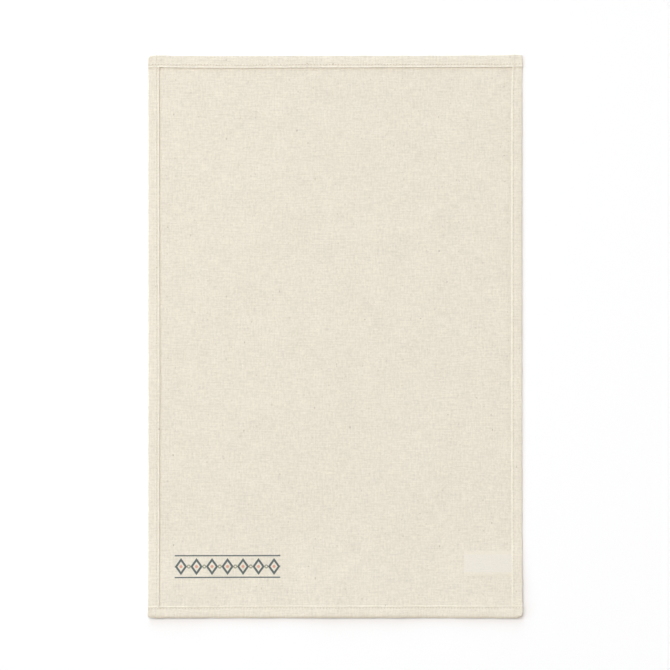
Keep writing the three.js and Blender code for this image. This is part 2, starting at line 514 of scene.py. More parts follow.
def cloth_mesh():
    """The cloth as a closed shell: its back and its face over the same lines, joined at the raw
    edges. The body between the hems keeps only every fourth line. Also the cut cloth's size."""
    side_x, layer_x, place_x, first_x = cloth_lines(HALF_WIDTH, LEFT, RIGHT, CELLS_ACROSS)
    side_y, layer_y, place_y, first_y = cloth_lines(HALF_LENGTH, BOTTOM, TOP, CELLS_ALONG)
    count_x, count_y = len(side_x), len(side_y)
    across = (side_x[None, None, :], layer_x[None, None, :], place_x[None, None, :])
    along = (side_y[None, :, None], layer_y[None, :, None], place_y[None, :, None])
    height = np.array((0, CLOTH_THICK))[:, None, None]
    (x, y, z), (straight_x, straight_y) = cloth_point(across, along, height)

    # Which points of the grid are kept
    column = np.arange(count_x)
    row = np.arange(count_y)
    body_x = (column > first_x) & (column < first_x + CELLS_ACROSS)
    body_y = (row > first_y) & (row < first_y + CELLS_ALONG)
    coarse_x = (column - first_x) % COARSE == 0
    coarse_y = (row - first_y) % COARSE == 0
    kept = ~(body_y[:, None] & body_x[None, :]) | (coarse_y[:, None] & coarse_x[None, :])
    index = np.full((2, count_y, count_x), -1)
    index[0][kept] = np.arange(kept.sum())
    index[1][kept] = np.arange(kept.sum()) + kept.sum()
    points = np.stack((x, y, z), axis=-1)[:, kept].reshape(-1, 3)

    # Faces of the hems, then of the body, whose outer cells take in every point of the hems' edge
    outlines = []
    for j in range(count_y - 1):
        for i in range(count_x - 1):
            in_body_x = first_x <= i < first_x + CELLS_ACROSS
            in_body_y = first_y <= j < first_y + CELLS_ALONG
            if not (in_body_x and in_body_y):
                outlines.append(((j, i), (j, i + 1), (j + 1, i + 1), (j + 1, i)))
    last_x = first_x + CELLS_ACROSS
    last_y = first_y + CELLS_ALONG
    for j in range(first_y, last_y, COARSE):
        for i in range(first_x, last_x, COARSE):
            outline = []
            fine = (j == first_y, i + COARSE == last_x, j + COARSE == last_y, i == first_x)
            starts = ((j, i), (j, i + COARSE), (j + COARSE, i + COARSE), (j + COARSE, i))
            moves = ((0, 1), (1, 0), (0, -1), (-1, 0))
            for dense, (at_j, at_i), (step_j, step_i) in zip(fine, starts, moves):
                for step in range(COARSE if dense else 1):
                    outline.append((at_j + step_j * step, at_i + step_i * step))
            outlines.append(tuple(outline))
    mesh = closed_shell("cloth_sheet", points, index, outlines)

    # Maps in metres: the flat cloth for its weave, and each kind of seam for its needle holes
    flat_x = length_along((side_x, layer_x, place_x), HALF_WIDTH, LEFT, RIGHT)
    flat_y = length_along((side_y, layer_y, place_y), HALF_LENGTH, BOTTOM, TOP)
    from_side = HALF_WIDTH - np.abs(straight_x) - edge_values(straight_x, LEFT, RIGHT)["seam"]
    from_end = HALF_LENGTH - np.abs(straight_y) - edge_values(straight_y, BOTTOM, TOP)["seam"]
    grid = np.ones((2, count_y, count_x))
    maps = {
        "weave": (flat_x[None, None, :] * grid, flat_y[None, :, None] * grid),
        "side_seam": (straight_y - SIDE_START, from_side),
        "end_seam": (straight_x - END_START, from_end),
    }
    for name, (u, v) in maps.items():
        add_map(mesh, name, u[:, kept], v[:, kept])

    # 0 on the back and 1 on the face, for the print
    face_side = mesh.attributes.new("face_side", "FLOAT", "POINT")
    on_face = np.stack((np.zeros(kept.sum()), np.ones(kept.sum())))
    face_side.data.foreach_set("value", on_face.ravel())
    return mesh, (np.ptp(flat_x), np.ptp(flat_y))


cloth_data, cut_size = cloth_mesh()
cloth = placed("towel_cloth", cloth_data)

# The outline's middle lies over the frame's origin
points = np.array([v.co for v in cloth_data.vertices])
towel_middle = (points.min(axis=0) + points.max(axis=0)) / 2
towel_middle[2] = 0
cloth_data.vertices.foreach_set("co", (points - towel_middle).ravel())


def calc(tree, operation, *values):
    """Adds a Math node and gives its output. A value is a number or another node's output."""
    node = tree.nodes.new("ShaderNodeMath")
    node.operation = operation
    for socket, value in zip(node.inputs, values):
        if isinstance(value, (int, float)):
            socket.default_value = value
        else:
            tree.links.new(value, socket)
    return node.outputs[0]


def ramp(tree, value, low, high):
    """Rises softly from 0 at low to 1 at high, or falls where low is above high."""
    node = tree.nodes.new("ShaderNodeMapRange")
    node.interpolation_type = "SMOOTHSTEP"
    tree.links.new(value, node.inputs["Value"])
    node.inputs["From Min"].default_value = min(low, high)
    node.inputs["From Max"].default_value = max(low, high)
    node.inputs["To Min"].default_value = 0 if low < high else 1
    node.inputs["To Max"].default_value = 1 if low < high else 0
    return node.outputs["Result"]


def map_parts(tree, name):
    """The two parts of a map of the surface, in metres."""
    node = tree.nodes.new("ShaderNodeUVMap")
    node.uv_map = name
    parts = tree.nodes.new("ShaderNodeSeparateXYZ")
    tree.links.new(node.outputs["UV"], parts.inputs["Vector"])
    return parts.outputs["X"], parts.outputs["Y"]


def distance(tree, x, y):
    """How far a point lies from where x and y are 0."""
    squares = calc(tree, "ADD", calc(tree, "POWER", x, 2), calc(tree, "POWER", y, 2))
    return calc(tree, "SQRT", squares)


def patches(tree, x, y, width, length, detail, seed):
    """Soft random patches of a given size, as values around 0."""
    vector = tree.nodes.new("ShaderNodeCombineXYZ")
    tree.links.new(calc(tree, "DIVIDE", x, width), vector.inputs["X"])
    tree.links.new(calc(tree, "DIVIDE", y, length), vector.inputs["Y"])
    vector.inputs["Z"].default_value = seed
    noise = tree.nodes.new("ShaderNodeTexNoise")
    noise.inputs["Scale"].default_value = 1
    noise.inputs["Detail"].default_value = detail
    tree.links.new(vector.outputs["Vector"], noise.inputs["Vector"])
    return calc(tree, "SUBTRACT", noise.outputs["Fac"], 0.5)


def flecks(tree, x, y, width, length, share, size, seed):
    """Scattered specks, one in a share of the cells of a given width and length. A speck's own
    length is to its size as a cell's length is to its width."""
    vector = tree.nodes.new("ShaderNodeCombineXYZ")
    tree.links.new(calc(tree, "DIVIDE", calc(tree, "ADD", x, seed), width), vector.inputs["X"])
    tree.links.new(calc(tree, "DIVIDE", y, length), vector.inputs["Y"])
    cells = tree.nodes.new("ShaderNodeTexVoronoi")
    cells.voronoi_dimensions = "2D"
    cells.inputs["Scale"].default_value = 1
    tree.links.new(vector.outputs["Vector"], cells.inputs["Vector"])
    chance = tree.nodes.new("ShaderNodeSeparateXYZ")
    tree.links.new(cells.outputs["Color"], chance.inputs["Vector"])
    speck = ramp(tree, cells.outputs["Distance"], size / width, FLECK_CORE * size / width)
    chosen = calc(tree, "LESS_THAN", chance.outputs["X"], share)
    strength = calc(tree, "MULTIPLY_ADD", chance.outputs["Y"], 1 - FLECK_LEAST, FLECK_LEAST)
    return calc(tree, "MULTIPLY", calc(tree, "MULTIPLY", speck, chosen), strength)


def needle_holes(tree, name, pitch, size):
    """The holes of a row of stitches with the painted shade round them, and how much
    further in than the row a point lies, from a seam's own map."""
    along, inwards = map_parts(tree, name)
    step = calc(tree, "PINGPONG", along, pitch / 2)
    return ramp(tree, distance(tree, step, inwards), size, HOLE_CORE * size), inwards


def mixed(tree, share, first, second):
    """A mix of two colours. Each is a colour or a node's output."""
    node = tree.nodes.new("ShaderNodeMix")
    node.data_type = "RGBA"
    tree.links.new(share, node.inputs["Factor"])
    for socket, colour in ((node.inputs["A"], first), (node.inputs["B"], second)):
        if isinstance(colour, tuple):
            socket.default_value = (*colour, 1)
        else:
            tree.links.new(colour, socket)
    return node.outputs["Result"]


def scaled(tree, vector, factor):
    """A colour or another vector times a node's output."""
    node = tree.nodes.new("ShaderNodeVectorMath")
    node.operation = "SCALE"
    if isinstance(vector, tuple):
        node.inputs[0].default_value = vector
    else:
        tree.links.new(vector, node.inputs[0])
    tree.links.new(factor, node.inputs["Scale"])
    return node.outputs["Vector"]


def bumped(tree, height, distance, under=None):
    """A surface raised by a share of a distance in metres, on top of another such surface."""
    node = tree.nodes.new("ShaderNodeBump")
    node.inputs["Strength"].default_value = 1
    node.inputs["Distance"].default_value = distance
    tree.links.new(height, node.inputs["Height"])
    if under is not None:
        tree.links.new(under, node.inputs["Normal"])
    return node.outputs["Normal"]


def finish(name, roughness, specular, sheen=0.0):
    """A new material with its nodes and its shader. Its colour and relief are linked in later."""
    material = bpy.data.materials.new(name)
    material.use_nodes = True
    shader = material.node_tree.nodes["Principled BSDF"]
    shader.inputs["Roughness"].default_value = roughness
    shader.inputs["Specular IOR Level"].default_value = specular
    shader.inputs["Sheen Weight"].default_value = sheen
    return material, material.node_tree, shader


# Colours, the spacing of the yarns and how far they wander, how strongly each unevenness shows in
# the cloth's tone, how dark its specks are and the painted shade at its needle holes, and how high
# its relief is
YARN = 0.64 * MM
YARN_WANDER = 2.2
COTTON = (0.784, 0.728, 0.616)
HUSK = (0.33, 0.26, 0.18)
HOLE_SHADE = (0.38, 0.27, 0.19)
WEFT_TONE = 0.24
WARP_TONE = 0.21
NAP_TONE = 0.25
CLOUD_TONE = 0.09
HEM_TONE = 0.024
HEM_PAST_SEAM = (3.6 * MM, 3.2 * MM)
NUB_TONE = 0.12
HUSK_STRENGTH = 0.5
FAINT_HUSK = 0.46
FLECK_CORE = 0.4
FLECK_LEAST = 0.35
HOLE_SHADE_STRENGTH = 0.6
HOLE_CORE = 0.3
SIDE_HOLE = 0.7 * MM
SIDE_HOLE_STRENGTH = 0.8
END_HOLE = 0.9 * MM
SLUB_RELIEF = 0.8 * MM
WEAVE_RELIEF = 0.1 * MM

cloth_material, tree, shader = finish("natural_cotton", roughness=0.92, specular=0.2, sheen=0.12)
shader.inputs["Sheen Roughness"].default_value = 0.6
across, along = map_parts(tree, "weave")

# Plain weave: every crossing is a crown, longer the way that its upper yarn runs
wander = patches(tree, across, along, 9 * MM, 9 * MM, detail=1, seed=3.0)
right = calc(tree, "MULTIPLY", wander, YARN_WANDER)
left = calc(tree, "MULTIPLY", wander, -YARN_WANDER)
wave_x = calc(tree, "SINE", calc(tree, "MULTIPLY_ADD", across, math.pi / YARN, right))
wave_y = calc(tree, "SINE", calc(tree, "MULTIPLY_ADD", along, math.pi / YARN, left))
crowns = calc(tree, "SQRT", calc(tree, "ABSOLUTE", calc(tree, "MULTIPLY", wave_x, wave_y)))

# Slubs: yarns that run thick and thin, both ways, and the cloth's soft unevenness
weft = patches(tree, across, along, 17 * MM, 1.8 * MM, detail=2, seed=11.0)
warp = patches(tree, across, along, 1.8 * MM, 14 * MM, detail=2, seed=23.0)
nap = patches(tree, across, along, 3 * MM, 3 * MM, detail=2, seed=37.0)
clouds = patches(tree, across, along, 34 * MM, 34 * MM, detail=2, seed=51.0)
weft = calc(tree, "MULTIPLY", weft, WEFT_TONE)
slubs = calc(tree, "ADD", weft, calc(tree, "MULTIPLY", warp, WARP_TONE))
nap = calc(tree, "MULTIPLY", nap, NAP_TONE)
uneven = calc(tree, "ADD", nap, calc(tree, "MULTIPLY", clouds, CLOUD_TONE))
tone = calc(tree, "ADD", calc(tree, "ADD", slubs, uneven), 1)

# Seam lines: painted shade in and round the needle holes, and the hems themselves, which look a
# little lighter than single cloth
side_holes, in_from_side = needle_holes(tree, "side_seam", SIDE_PITCH, SIDE_HOLE)
end_holes, in_from_end = needle_holes(tree, "end_seam", END_PITCH, END_HOLE)
holes = calc(tree, "MAXIMUM", calc(tree, "MULTIPLY", side_holes, SIDE_HOLE_STRENGTH), end_holes)
past_seam = calc(tree, "MINIMUM", in_from_side, in_from_end)
in_hem = ramp(tree, past_seam, *HEM_PAST_SEAM)
tone = calc(tree, "ADD", tone, calc(tree, "MULTIPLY", in_hem, HEM_TONE))

# Specks: pale nubs, and dark bits of seed husk, upright ones, level ones and fainter ones
nubs = flecks(tree, across, along, 12 * MM, 9 * MM, share=0.25, size=1.3 * MM, seed=5.3)
tone = calc(tree, "MULTIPLY_ADD", nubs, NUB_TONE, tone)
upright = flecks(tree, across, along, 24 * MM, 40 * MM, share=0.09, size=1.25 * MM, seed=0.7)
level = flecks(tree, across, along, 38 * MM, 25 * MM, share=0.08, size=1.6 * MM, seed=1.9)
faint = flecks(tree, across, along, 11 * MM, 13 * MM, share=0.22, size=1.3 * MM, seed=3.1)
dark = calc(tree, "MAXIMUM", upright, level)
husks = calc(tree, "MAXIMUM", dark, calc(tree, "MULTIPLY", faint, FAINT_HUSK))
husks = calc(tree, "MULTIPLY", husks, HUSK_STRENGTH)
colour = mixed(tree, husks, scaled(tree, COTTON, tone), HUSK)
# Painted shade: in and round each needle hole the cloth's colour goes towards a dark warm brown
colour = mixed(tree, calc(tree, "MULTIPLY", holes, HOLE_SHADE_STRENGTH), colour, HOLE_SHADE)

# A printed border near the lower left corner: lozenges with a dot in each, small rings between
# them, and a line above and below. It shows faintly through on the back.
PRINT_MIDDLE = (-145.5 * MM, -311 * MM)
PRINT_REPEAT = 21 * MM
PRINT_HALF = 71.5 * MM
PRINT_HEIGHT = 16 * MM
PRINT_SOFT = 0.15 * MM
PRINT_RAGGED = 0.5 * MM
PRINT_THROUGH = 0.1
PRINT_ON_FACE = 0.84
PRINT_BETWEEN = 0.9
PRINT_ON_CROWN = 0.12
FINE_LINE = 1.7 * MM
LOZENGE_HALF = 6.6 * MM
LOZENGE_LINE = 3.4 * MM
LOZENGE_SLOPE = 0.72
DOT = 2.1 * MM
RING = 1.9 * MM
RULE_OUT = 14.6 * MM
INK_TEAL = (0.052, 0.085, 0.092)
INK_SAGE = (0.30, 0.305, 0.215)
INK_CORAL = (0.70, 0.35, 0.25)


def inked(tree, offset, width):
    """1 on a printed line of a given width, from how far a point lies off the line's middle."""
    off_middle = calc(tree, "ABSOLUTE", offset)
    return ramp(tree, off_middle, width / 2 + PRINT_SOFT, width / 2 - PRINT_SOFT)


ragged = patches(tree, across, along, 0.9 * MM, 0.9 * MM, detail=1, seed=71.0)
ragged = calc(tree, "MULTIPLY", ragged, PRINT_RAGGED)
print_x = calc(tree, "ADD", calc(tree, "SUBTRACT", across, PRINT_MIDDLE[0]), ragged)
print_y = calc(tree, "ADD", calc(tree, "SUBTRACT", along, PRINT_MIDDLE[1]), ragged)
print_y = calc(tree, "ABSOLUTE", print_y)
aside = calc(tree, "PINGPONG", print_x, PRINT_REPEAT / 2)
between = calc(tree, "SUBTRACT", PRINT_REPEAT / 2, aside)
slope = calc(tree, "ADD", aside, calc(tree, "MULTIPLY", print_y, LOZENGE_SLOPE))
lozenge = inked(tree, calc(tree, "SUBTRACT", slope, LOZENGE_HALF), LOZENGE_LINE)
dot = ramp(tree, distance(tree, aside, print_y), DOT + PRINT_SOFT, DOT - PRINT_SOFT)
from_ring = distance(tree, between, print_y)
ring = inked(tree, calc(tree, "SUBTRACT", from_ring, RING), FINE_LINE)
rule = inked(tree, calc(tree, "SUBTRACT", print_y, RULE_OUT), FINE_LINE)

# How much ink the cloth has taken: it takes a little less between the crowns of its weave
off_middle = calc(tree, "ABSOLUTE", print_x)
within = ramp(tree, off_middle, PRINT_HALF + PRINT_SOFT, PRINT_HALF - PRINT_SOFT)
level_with = ramp(tree, print_y, PRINT_HEIGHT + PRINT_RAGGED, PRINT_HEIGHT)
face_side = tree.nodes.new("ShaderNodeAttribute")
face_side.attribute_name = "face_side"
taken = calc(tree, "MULTIPLY_ADD", face_side.outputs["Fac"], PRINT_ON_FACE, PRINT_THROUGH)
taken = calc(tree, "MULTIPLY", taken, calc(tree, "MULTIPLY", within, level_with))
on_weave = calc(tree, "MULTIPLY_ADD", crowns, PRINT_ON_CROWN, PRINT_BETWEEN)
taken = calc(tree, "MULTIPLY", taken, on_weave)
teal = calc(tree, "MAXIMUM", lozenge, rule)
for print_part, ink in ((teal, INK_TEAL), (ring, INK_SAGE), (dot, INK_CORAL)):
    colour = mixed(tree, calc(tree, "MULTIPLY", print_part, taken), colour, ink)
tree.links.new(colour, shader.inputs["Base Color"])

relief = bumped(tree, slubs, SLUB_RELIEF)
relief = bumped(tree, calc(tree, "SUBTRACT", crowns, holes), WEAVE_RELIEF, relief)
tree.links.new(relief, shader.inputs["Normal"])
cloth_data.materials.append(cloth_material)
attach(cloth, "root")
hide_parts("cloth")

# The stitching: pale sewing thread in a row along each hem, a thread on the face and one beneath,
# which dip into the same needle holes. The side rows were sewn first, so their lower threads turn
# over with the end hems and come up on the face of the corners.
THREAD = 0.32 * MM
THREAD_SIDES = 6

# A stitch: how high it arches and how deep its ends sink, as shares of half its thickness, how far
# it lies askew, and where its points lie, as shares of its length
THREAD_ARCH = 1.25
THREAD_SINK = 0.6
THREAD_SKEW = 0.1 * MM
THREAD_PARTS = (0, 0.13, 0.31, 0.5, 0.69, 0.87)

# How many stitches a row runs on past the body of the cloth, and how far short of the end hems'
# inner folds the lower thread of a side row stops
SIDE_RUN_ON = 0.62
END_RUN_ON = 4
STOPS_SHORT = 0.3 * MM
NEARLY = 0.001


def stitch_phases(first, last):
    """Places along a row, counted in stitches from its first needle hole beside the inner fold."""
    whole = np.arange(math.floor(first), math.ceil(last))
    phases = (whole[:, None] + np.array(THREAD_PARTS)[None, :]).ravel()
    return phases[(phases >= first - NEARLY) & (phases <= last + NEARLY)]


def fold_arc(stack):
    """The way round a turned stack's outer fold, which is pressed to half an ellipse."""
    reach, half_full = fold_reach(stack)
    return math.pi * math.sqrt((reach**2 + half_full**2) / 2)


def turned_place(place, stack):
    """The layer, place and turn of a point on the back of a stack of cloth that runs on over an
    outer fold. place is how far the point would be in from the fold if the cloth ran straight on."""
    reach = fold_reach(stack)[0]
    arc = fold_arc(stack)
    beyond = reach - place
    angle = np.clip(math.pi * beyond / arc, 0, math.pi)
    layer = np.where(beyond <= 0, BASE, np.where(angle < math.pi, OUTER_FOLD, TOP_LAYER))
    return layer, np.choose(layer, (place, angle, reach + beyond - arc)), angle


def row_points(across, along, turn, side_y):
    """The points of a thread's row on the cloth, and the way out of the cloth at each."""
    x, y, z = cloth_point(across, along, 0.0)[0]
    out = np.stack((0 * x, side_y * np.sin(turn), -np.cos(turn)), axis=-1)
    return np.stack((x, y, z), axis=-1) - towel_middle, out


def side_row(side, face):
    """One thread of a side hem's row, on its face or beneath it. The lower one turns over with the
    end hems, and runs up their face to where their inner folds turn in."""
    seam = (LEFT if side < 0 else RIGHT)["seam"]
    stitches = CELLS_ALONG / 2
    if face:
        phases = stitch_phases(-SIDE_RUN_ON, stitches + SIDE_RUN_ON)
    else:
        reach, half_full = fold_reach(HEM_THICK)
        turn = fold_arc(HEM_THICK) - 2 * reach
        hidden = (HEM_THICK + 0.5 * LAYER_GAP) * reach / half_full + STOPS_SHORT
        low_end = 2 * BOTTOM["hem"] + BODY_START - hidden + turn
        high_end = 2 * TOP["hem"] + BODY_START - hidden + turn
        phases = stitch_phases(-low_end / SIDE_PITCH, stitches + high_end / SIDE_PITCH)
    y = SIDE_START + phases * SIDE_PITCH
    side_y = np.where(y < 0, -1, 1)
    one = np.ones(len(y), int)
    across = (side * one, (TOP_LAYER if face else BASE) * one, seam * one)
    layer, place, turn = BASE * one, HALF_LENGTH - np.abs(y), math.pi * one
    if not face:
        layer, place, turn = turned_place(place, HEM_THICK)
    return *row_points(across, (side_y, layer, place), turn, side_y), phases


def end_row(side, face):
    """One thread of an end hem's row, from side edge to side edge."""
    seam = (BOTTOM if side < 0 else TOP)["seam"]
    phases = stitch_phases(-END_RUN_ON, CELLS_ACROSS / 2 + END_RUN_ON)
    x = END_START + phases * END_PITCH
    one = np.ones(len(x), int)
    across = (np.where(x < 0, -1, 1), BASE * one, HALF_WIDTH - np.abs(x))
    along = (side * one, (TOP_LAYER if face else BASE) * one, seam * one)
    turn = (math.pi if face else 0.0) * one
    return *row_points(across, along, turn, side), phases


def rows_mesh(rows):
    """All rows as lines from point to point, each point with its way out and its stitch count."""
    places, ways_out, counts = zip(*rows)
    edges = []
    start = 0
    for row in places:
        edges += [(start + step, start + step + 1) for step in range(len(row) - 1)]
        start += len(row)
    mesh = bpy.data.meshes.new("seam_rows")
    mesh.from_pydata(np.concatenate(places).tolist(), edges, [])
    way_out = mesh.attributes.new("way_out", "FLOAT_VECTOR", "POINT")
    way_out.data.foreach_set("vector", np.concatenate(ways_out).ravel())
    count = mesh.attributes.new("stitch_count", "FLOAT", "POINT")
    count.data.foreach_set("value", np.concatenate(counts))
    return mesh


def added(tree, kind, **given):
    """Adds a node, with other nodes' outputs linked to its inputs. An input whose name has a space
    is given with an underscore."""
    node = tree.nodes.new(kind)
    for name, output in given.items():
        tree.links.new(output, node.inputs[name.replace("_", " ")])
    return node


def captured(tree, curve, name, value):
    """Keeps a value at every point of a curve, and gives the curve and the kept value."""
    node = tree.nodes.new("GeometryNodeCaptureAttribute")
    node.capture_items.new("FLOAT", name)
    tree.links.new(curve, node.inputs["Geometry"])
    tree.links.new(value, node.inputs[name])
    return node.outputs["Geometry"], node.outputs[name]


def named_value(tree, kind, name):
    """A node that reads a point's own value by name."""
    node = tree.nodes.new("GeometryNodeInputNamedAttribute")
    node.data_type = kind
    node.inputs["Name"].default_value = name
    return node.outputs["Attribute"]


def thread_tree():
    """Lays a round thread along every row. It stands out of the cloth in the middle of a stitch
    and sinks into the needle hole at both ends, and each stitch lies a little askew."""
    tree = bpy.data.node_groups.new("sewn_rows", "GeometryNodeTree")
    face = tree.interface
    face.new_socket("Rows", in_out="INPUT", socket_type="NodeSocketGeometry")
    for name in ("Thread", "Arch", "Sink", "Skew"):
        face.new_socket(name, in_out="INPUT", socket_type="NodeSocketFloat")
    face.new_socket("Sides", in_out="INPUT", socket_type="NodeSocketInt")
    face.new_socket("Thread Material", in_out="INPUT", socket_type="NodeSocketMaterial")
    face.new_socket("Stitching", in_out="OUTPUT", socket_type="NodeSocketGeometry")
    given = tree.nodes.new("NodeGroupInput").outputs
    result = tree.nodes.new("NodeGroupOutput")
    curve = added(tree, "GeometryNodeMeshToCurve", Mesh=given["Rows"])
    half_thread = calc(tree, "MULTIPLY", given["Thread"], 0.5)
    way_out = named_value(tree, "FLOAT_VECTOR", "way_out")

    # How high: a quick rise out of each hole to a level top
    phase = calc(tree, "FRACT", named_value(tree, "FLOAT", "stitch_count"))
    arch = calc(tree, "POWER", calc(tree, "SINE", calc(tree, "MULTIPLY", phase, math.pi)), 0.5)
    level = calc(tree, "SUBTRACT", calc(tree, "MULTIPLY", arch, given["Arch"]), given["Sink"])
    lift = scaled(tree, way_out, calc(tree, "MULTIPLY", level, half_thread))

    # How far aside: from one edge of the hole to the other in each stitch
    tangent = tree.nodes.new("GeometryNodeInputTangent")
    aside = tree.nodes.new("ShaderNodeVectorMath")
    aside.operation = "CROSS_PRODUCT"
    tree.links.new(tangent.outputs["Tangent"], aside.inputs[0])
    tree.links.new(way_out, aside.inputs[1])
    swing = calc(tree, "SINE", calc(tree, "MULTIPLY", phase, 2 * math.pi))
    shift = scaled(tree, aside.outputs["Vector"], calc(tree, "MULTIPLY", swing, given["Skew"]))
    total = tree.nodes.new("ShaderNodeVectorMath")
    tree.links.new(lift, total.inputs[0])
    tree.links.new(shift, total.inputs[1])
    moved = added(
        tree,
        "GeometryNodeSetPosition",
        Geometry=curve.outputs["Curve"],
        Offset=total.outputs["Vector"],
    )

    # Round thread, with a map of how far along and how far round it a point lies
    spline = tree.nodes.new("GeometryNodeSplineParameter").outputs
    path, along = captured(tree, moved.outputs["Geometry"], "Along", spline["Length"])
    circle = added(
        tree,
        "GeometryNodeCurvePrimitiveCircle",
        Resolution=given["Sides"],
        Radius=half_thread,
    )
    profile, around = captured(tree, circle.outputs["Curve"], "Around", spline["Factor"])
    tube = added(tree, "GeometryNodeCurveToMesh", Curve=path, Profile_Curve=profile)
    tube.inputs["Fill Caps"].default_value = True
    both = added(tree, "ShaderNodeCombineXYZ", X=along, Y=around)
    store = tree.nodes.new("GeometryNodeStoreNamedAttribute")
    store.data_type = "FLOAT_VECTOR"
    store.domain = "POINT"
    store.inputs["Name"].default_value = "along_around"
    tree.links.new(tube.outputs["Mesh"], store.inputs["Geometry"])
    tree.links.new(both.outputs["Vector"], store.inputs["Value"])
    soft = added(tree, "GeometryNodeSetShadeSmooth", Geometry=store.outputs["Geometry"])
    real = added(tree, "GeometryNodeRealizeInstances", Geometry=soft.outputs["Geometry"])
    dyed = added(
        tree,
        "GeometryNodeSetMaterial",
        Geometry=real.outputs["Geometry"],
        Material=given["Thread Material"],
    )
    tree.links.new(dyed.outputs["Geometry"], result.inputs["Stitching"])
    return tree


def grown(name, mesh, tree, settings):
    """A plain object made by running a tree of Geometry Nodes on a mesh."""
    seed = placed(name, mesh)
    modifier = seed.modifiers.new("grow", "NODES")
    modifier.node_group = tree
    for item in tree.interface.items_tree:
        if item.item_type == "SOCKET" and item.in_out == "INPUT" and item.name in settings:
            modifier[item.identifier] = settings[item.name]
    view = bpy.context.evaluated_depsgraph_get()
    plain = bpy.data.meshes.new_from_object(seed.evaluated_get(view), depsgraph=view)
    seed.modifiers.remove(modifier)
    seed.data = plain
    return seed


SEWING_THREAD = (0.80, 0.755, 0.655)
TWIST = 0.55 * MM
PLY_SHADE_RANGE = 0.16
THREAD_GROOVE_SHADE = 0.87
PLY_RELIEF = 0.05 * MM
thread_material, tree, shader = finish("sewing_thread", roughness=0.6, specular=0.35, sheen=0.2)
twist_map = tree.nodes.new("ShaderNodeAttribute")
twist_map.attribute_name = "along_around"
place = added(tree, "ShaderNodeSeparateXYZ", Vector=twist_map.outputs["Vector"]).outputs
turns = calc(tree, "MULTIPLY_ADD", place["X"], 1 / TWIST, place["Y"])
ply = calc(tree, "ABSOLUTE", calc(tree, "SINE", calc(tree, "MULTIPLY", turns, 2 * math.pi)))
# Painted shade: the thread's colour is darker in the grooves between its twisted plies
tone = calc(tree, "MULTIPLY_ADD", ply, PLY_SHADE_RANGE, THREAD_GROOVE_SHADE)
tree.links.new(scaled(tree, SEWING_THREAD, tone), shader.inputs["Base Color"])
tree.links.new(bumped(tree, ply, PLY_RELIEF), shader.inputs["Normal"])

rows = [side_row(side, face) for side in (-1, 1) for face in (True, False)]
rows += [end_row(side, face) for side in (-1, 1) for face in (True, False)]
thread_settings = {
    "Thread": THREAD,
    "Arch": THREAD_ARCH,
    "Sink": THREAD_SINK,
    "Skew": THREAD_SKEW,
    "Sides": THREAD_SIDES,
    "Thread Material": thread_material,
}
stitching = grown("hem_stitching", rows_mesh(rows), thread_tree(), thread_settings)
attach(stitching, "root")

# The label: a short piece of pale, smooth woven tape with firm edges, laid on the cloth. Its right
# end runs into the side hem between the cloth and its turned layers, and is sewn in with them.
LABEL_FREE_END = 174.9 * MM
LABEL_HELD_END = HALF_WIDTH - RIGHT["hem"] + LABEL_HELD
LABEL_BOTTOM = -323.8 * MM
LABEL_TOP = -289.7 * MM
LABEL_COLUMNS = 44
LABEL_ROWS = 34

# How the tape lies: its free end and its open part lift off the cloth a little, and its edges are
# thinner than its middle
FREE_LIFT = 0.1 * MM
FREE_REACH = 11 * MM
OPEN_LIFT = 0.03 * MM
OPEN_START = 8 * MM
OPEN_FULL = 22 * MM
OPEN_WAVES = ((0.5, 37, 61, 0.5),)
THIN_EDGE = 0.62
THIN_WIDTH = 0.5 * MM
FIRM_EDGE_ANGLE = 50


def label_mesh():
    """The tape as a closed shell on the cloth below it, and the size it was cut to."""
    share_x = np.linspace(0, 1, LABEL_COLUMNS + 1)[None, None, :]
    share_y = np.linspace(0, 1, LABEL_ROWS + 1)[None, :, None]
    grid = np.ones((2, LABEL_ROWS + 1, LABEL_COLUMNS + 1))
    length = LABEL_HELD_END - LABEL_FREE_END
    height = LABEL_TOP - LABEL_BOTTOM
    x = grid * (LABEL_FREE_END + length * share_x)
    y = grid * (LABEL_BOTTOM + height * share_y)
    base = np.full(x.shape, BASE)
    across = (np.ones(x.shape), base, HALF_WIDTH - x)
    along = (-np.ones(x.shape), base, HALF_LENGTH + y)
    laid_x, laid_y, laid_z = cloth_point(across, along, CLOTH_THICK * grid)[0]
    from_free_end = x - LABEL_FREE_END
    free = 1 - smooth(0, FREE_REACH, from_free_end)
    open_part = smooth(LABEL_HELD_END - OPEN_START, LABEL_HELD_END - OPEN_FULL, x)
    lift = FREE_LIFT * free + OPEN_LIFT * open_part * (1 + waves(x / MM, y / MM, OPEN_WAVES))
    edge = np.minimum(np.minimum(share_y, 1 - share_y) * height, from_free_end)
    thick = LABEL_THICK * (THIN_EDGE + (1 - THIN_EDGE) * smooth(0, THIN_WIDTH, edge))
    z = laid_z + 0.5 * LAYER_GAP + lift
    z[1] += thick[1]
    points = np.stack((laid_x, laid_y, z), axis=-1).reshape(-1, 3) - towel_middle

    outlines = []
    for j in range(LABEL_ROWS):
        for i in range(LABEL_COLUMNS):
            outlines.append(((j, i), (j, i + 1), (j + 1, i + 1), (j + 1, i)))
    index = np.arange(len(points)).reshape(grid.shape)
    mesh = closed_shell("label_tape", points, index, outlines)
    mesh.set_sharp_from_angle(angle=math.radians(FIRM_EDGE_ANGLE))
    add_map(mesh, "tape", from_free_end, y - LABEL_BOTTOM)
    return mesh, (length, height)


label_data, label_size = label_mesh()
label = placed("side_label", label_data)

